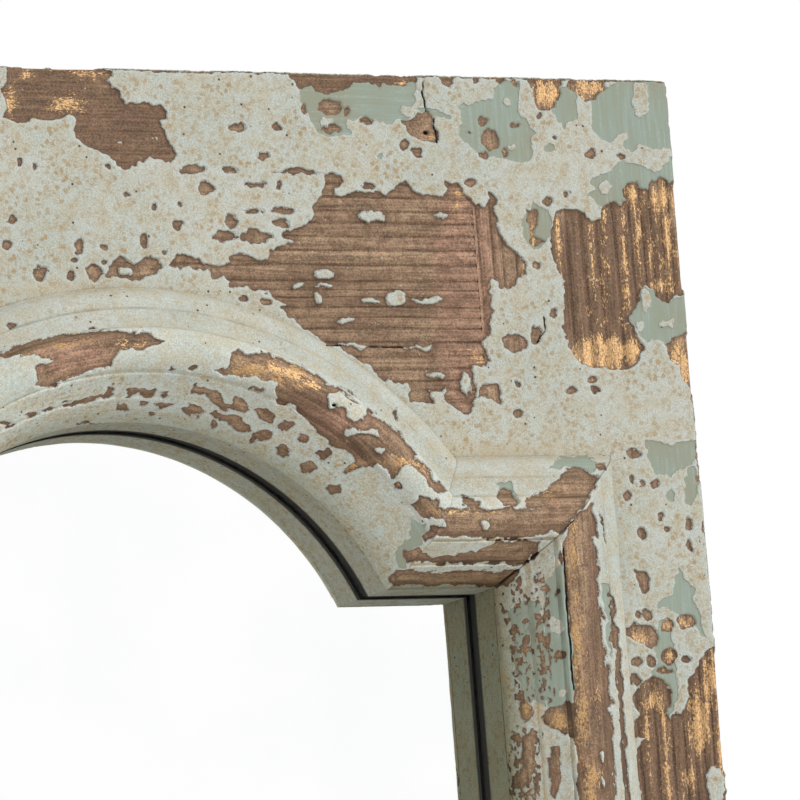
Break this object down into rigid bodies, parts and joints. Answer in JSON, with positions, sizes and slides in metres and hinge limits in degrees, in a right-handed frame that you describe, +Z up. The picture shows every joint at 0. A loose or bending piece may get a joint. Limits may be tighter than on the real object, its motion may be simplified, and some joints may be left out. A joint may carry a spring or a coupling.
{
  "type": "arched floor mirror",
  "caption": "Tall floor mirror: wide board frame in worn pale paint, an arched head with square shoulders, a raised moulding mitred round the opening, and a pane held from the back.",
  "frame": {"origin": "on the floor, under the middle of the boards", "axes": "+X across the frame to the right of someone who faces it, -Y towards that person, +Z up"},
  "size_m": [0.8, 0.106, 1.8],
  "materials": {
    "painted_board": "chalky pale paint, chipped to brown wood",
    "painted_moulding": "chalky pale paint, rubbed to brown wood and gold on the bead",
    "dowel_wood": "bare turned wood",
    "brad_steel": "dull wire",
    "mirror": "silvered glass",
    "foam_tape": "matt black foam",
    "block_rubber": "matt black",
    "hardboard": "smooth brown fibre board",
    "screw_steel": "zinc plated",
    "hanger_steel": "zinc plated",
    "pad_felt": "pressed brown felt",
    "bumper_rubber": "matt black rubber"
  },
  "bodies": {
    "mirror": {"left_stile": "painted_board", "right_stile": "painted_board", "head_board": "painted_board", "bottom_rail": "painted_board", "corner_dowels": "dowel_wood", "arch_moulding": "painted_moulding", "left_shoulder_moulding": "painted_moulding", "right_shoulder_moulding": "painted_moulding", "left_stile_moulding": "painted_moulding", "right_stile_moulding": "painted_moulding", "bottom_moulding": "painted_moulding", "moulding_brads": "brad_steel", "mirror_glass": "mirror", "glazing_tapes": "foam_tape", "setting_blocks": "block_rubber", "backing_board": "hardboard", "backing_screws": "screw_steel", "left_hanger_strap": "hanger_steel", "right_hanger_strap": "hanger_steel", "hanger_screws": "screw_steel", "floor_pads": "pad_felt", "wall_bumpers": "bumper_rubber"},
    "left_ring": {"left_d_ring": "hanger_steel"},
    "right_ring": {"right_d_ring": "hanger_steel"}
  },
  "joints": [
    {"name": "left_ring_swing", "type": "hinge", "parent": "mirror", "child": "left_ring", "pos_m": [-0.34, 0.0331, 1.48], "axis": [1, 0, 0], "range_deg": [0, 180]},
    {"name": "right_ring_swing", "type": "hinge", "parent": "mirror", "child": "right_ring", "pos_m": [0.34, 0.0331, 1.48], "axis": [1, 0, 0], "range_deg": [0, 180]}
  ]
}
